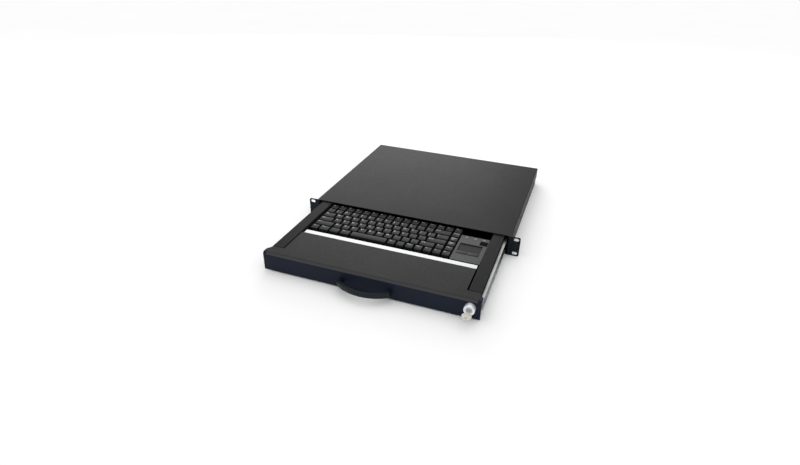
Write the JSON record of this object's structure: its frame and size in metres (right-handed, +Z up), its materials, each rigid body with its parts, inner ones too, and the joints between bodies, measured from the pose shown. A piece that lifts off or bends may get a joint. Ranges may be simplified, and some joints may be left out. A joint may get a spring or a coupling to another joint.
{
  "type": "rackmount keyboard drawer",
  "caption": "One-unit rack drawer on ball-bearing slides with a compact keyboard, touchpad, palm rest, bow handle and key lock, shown pulled out of its case.",
  "frame": {"origin": "middle of the four rack slots, on the seating face of the ears", "axes": "+X to the right, +Y back into the rack, +Z up; the front faces -Y"},
  "size_m": [0.4826, 0.6554, 0.0436],
  "materials": {
    "case_paint": "fine-textured dark grey powder coat",
    "fascia_paint": "satin blue-black paint",
    "deck_paint": "fine-textured dark grey powder coat",
    "tray_paint": "satin black paint",
    "zinc_steel": "zinc-plated, drawn along its length",
    "ball_steel": "polished bearing steel",
    "screw_steel": "zinc-plated",
    "black_screw": "black-oxide",
    "bright_trim": "satin anodised",
    "black_rubber": "moulded",
    "handle_black": "satin black coat on cast metal",
    "lock_chrome": "polished plating",
    "key_nickel": "nickel plate, worn",
    "board_plastic": "moulded black",
    "key_plastic": "fine-textured moulding",
    "panel_plastic": "fine-textured grey moulding",
    "pad_film": "finely stippled film",
    "button_plastic": "moulded",
    "circuit_laminate": "lacquered laminate",
    "membrane_film": "printed film",
    "lamp_plastic": "translucent"
  },
  "bodies": {
    "case": {"base_pan": "case_paint", "top_cover": "case_paint", "left_rack_ear": "fascia_paint", "right_rack_ear": "fascia_paint", "ear_screws": "black_screw", "cover_screws": "black_screw", "left_slide_outer": "zinc_steel", "right_slide_outer": "zinc_steel", "slide_outer_screws": "screw_steel", "slide_bumpers": "black_rubber", "lock_catch": "tray_paint", "cable_grommet": "black_rubber"},
    "ball_cages": {"left_ball_cage": "zinc_steel", "right_ball_cage": "zinc_steel", "slide_balls": "ball_steel"},
    "drawer": {"drawer_tray": "tray_paint", "left_slide_inner": "zinc_steel", "right_slide_inner": "zinc_steel", "slide_inner_screws": "screw_steel", "front_fascia": "fascia_paint", "fascia_nuts": "screw_steel", "pull_handle": "handle_black", "handle_screws": "screw_steel", "palm_rest": "deck_paint", "trim_strip": "bright_trim", "left_side_cover": "deck_paint", "right_side_cover": "deck_paint", "lock_barrel": "lock_chrome", "lock_nut": "screw_steel", "keyboard_base": "board_plastic", "keyboard_screws": "screw_steel", "switch_membrane": "membrane_film", "key_plate": "board_plastic", "controller_board": "circuit_laminate", "touchpad_bezel": "panel_plastic", "touchpad_surface": "pad_film", "touchpad_board": "circuit_laminate", "indicator_lenses": "lamp_plastic"},
    "lock_core": {"lock_plug": "lock_chrome", "lock_key": "key_nickel", "lock_cam": "zinc_steel", "cam_screw": "screw_steel"},
    "touchpad_left": {"touchpad_left_button": "button_plastic"},
    "touchpad_right": {"touchpad_right_button": "button_plastic"},
    "escape_key_body": {"escape_key": "key_plastic"},
    "function_row_keys_body": {"function_row_keys": "key_plastic"},
    "number_row_keys_body": {"number_row_keys": "key_plastic"},
    "backspace_key_body": {"backspace_key": "key_plastic"},
    "tab_key_body": {"tab_key": "key_plastic"},
    "upper_letter_row_keys_body": {"upper_letter_row_keys": "key_plastic"},
    "caps_lock_key_body": {"caps_lock_key": "key_plastic"},
    "home_letter_row_keys_body": {"home_letter_row_keys": "key_plastic"},
    "enter_key_body": {"enter_key": "key_plastic"},
    "left_shift_key_body": {"left_shift_key": "key_plastic"},
    "lower_letter_row_keys_body": {"lower_letter_row_keys": "key_plastic"},
    "right_shift_key_body": {"right_shift_key": "key_plastic"},
    "modifier_row_keys_body": {"modifier_row_keys": "key_plastic"},
    "space_bar_body": {"space_bar": "key_plastic"},
    "arrow_keys_body": {"arrow_keys": "key_plastic"},
    "navigation_column_keys_body": {"navigation_column_keys": "key_plastic"}
  },
  "joints": [
    {"name": "drawer_slide", "type": "slide", "parent": "case", "child": "drawer", "axis": [0, -1, 0], "range_m": [-0.235, 0.012]},
    {"name": "ball_cage_slide", "type": "slide", "parent": "case", "child": "ball_cages", "axis": [0, -1, 0], "range_m": [-0.1175, 0.006]},
    {"name": "lock_turn", "type": "hinge", "parent": "drawer", "child": "lock_core", "pos_m": [0.1958, -0.24, 0.0032], "axis": [0, -1, 0], "range_deg": [0, 90]},
    {"name": "touchpad_left_press", "type": "slide", "parent": "drawer", "child": "touchpad_left", "axis": [0, 0, -1], "range_m": [0, 0.0008], "stiffness_N_per_m": 300, "springref_m": -0.002},
    {"name": "touchpad_right_press", "type": "slide", "parent": "drawer", "child": "touchpad_right", "axis": [0, 0, -1], "range_m": [0, 0.0008], "stiffness_N_per_m": 300, "springref_m": -0.002},
    {"name": "escape_key_press", "type": "slide", "parent": "drawer", "child": "escape_key_body", "axis": [0, 0, -1], "range_m": [0, 0.003], "stiffness_N_per_m": 90, "springref_m": -0.003},
    {"name": "function_row_keys_press", "type": "slide", "parent": "drawer", "child": "function_row_keys_body", "axis": [0, 0, -1], "range_m": [0, 0.003], "stiffness_N_per_m": 1350, "springref_m": -0.003},
    {"name": "number_row_keys_press", "type": "slide", "parent": "drawer", "child": "number_row_keys_body", "axis": [0, 0, -1], "range_m": [0, 0.003], "stiffness_N_per_m": 1170, "springref_m": -0.003},
    {"name": "backspace_key_press", "type": "slide", "parent": "drawer", "child": "backspace_key_body", "axis": [0, 0, -1], "range_m": [0, 0.003], "stiffness_N_per_m": 90, "springref_m": -0.003},
    {"name": "tab_key_press", "type": "slide", "parent": "drawer", "child": "tab_key_body", "axis": [0, 0, -1], "range_m": [0, 0.003], "stiffness_N_per_m": 90, "springref_m": -0.003},
    {"name": "upper_letter_row_keys_press", "type": "slide", "parent": "drawer", "child": "upper_letter_row_keys_body", "axis": [0, 0, -1], "range_m": [0, 0.003], "stiffness_N_per_m": 1170, "springref_m": -0.003},
    {"name": "caps_lock_key_press", "type": "slide", "parent": "drawer", "child": "caps_lock_key_body", "axis": [0, 0, -1], "range_m": [0, 0.003], "stiffness_N_per_m": 90, "springref_m": -0.003},
    {"name": "home_letter_row_keys_press", "type": "slide", "parent": "drawer", "child": "home_letter_row_keys_body", "axis": [0, 0, -1], "range_m": [0, 0.003], "stiffness_N_per_m": 990, "springref_m": -0.003},
    {"name": "enter_key_press", "type": "slide", "parent": "drawer", "child": "enter_key_body", "axis": [0, 0, -1], "range_m": [0, 0.003], "stiffness_N_per_m": 90, "springref_m": -0.003},
    {"name": "left_shift_key_press", "type": "slide", "parent": "drawer", "child": "left_shift_key_body", "axis": [0, 0, -1], "range_m": [0, 0.003], "stiffness_N_per_m": 90, "springref_m": -0.003},
    {"name": "lower_letter_row_keys_press", "type": "slide", "parent": "drawer", "child": "lower_letter_row_keys_body", "axis": [0, 0, -1], "range_m": [0, 0.003], "stiffness_N_per_m": 900, "springref_m": -0.003},
    {"name": "right_shift_key_press", "type": "slide", "parent": "drawer", "child": "right_shift_key_body", "axis": [0, 0, -1], "range_m": [0, 0.003], "stiffness_N_per_m": 90, "springref_m": -0.003},
    {"name": "modifier_row_keys_press", "type": "slide", "parent": "drawer", "child": "modifier_row_keys_body", "axis": [0, 0, -1], "range_m": [0, 0.003], "stiffness_N_per_m": 720, "springref_m": -0.003},
    {"name": "space_bar_press", "type": "slide", "parent": "drawer", "child": "space_bar_body", "axis": [0, 0, -1], "range_m": [0, 0.003], "stiffness_N_per_m": 90, "springref_m": -0.003},
    {"name": "arrow_keys_press", "type": "slide", "parent": "drawer", "child": "arrow_keys_body", "axis": [0, 0, -1], "range_m": [0, 0.003], "stiffness_N_per_m": 360, "springref_m": -0.003},
    {"name": "navigation_column_keys_press", "type": "slide", "parent": "drawer", "child": "navigation_column_keys_body", "axis": [0, 0, -1], "range_m": [0, 0.003], "stiffness_N_per_m": 360, "springref_m": -0.003}
  ],
  "couplings": [
    {"joint": "ball_cage_slide", "follows": "drawer_slide", "ratio": 0.5}
  ]
}
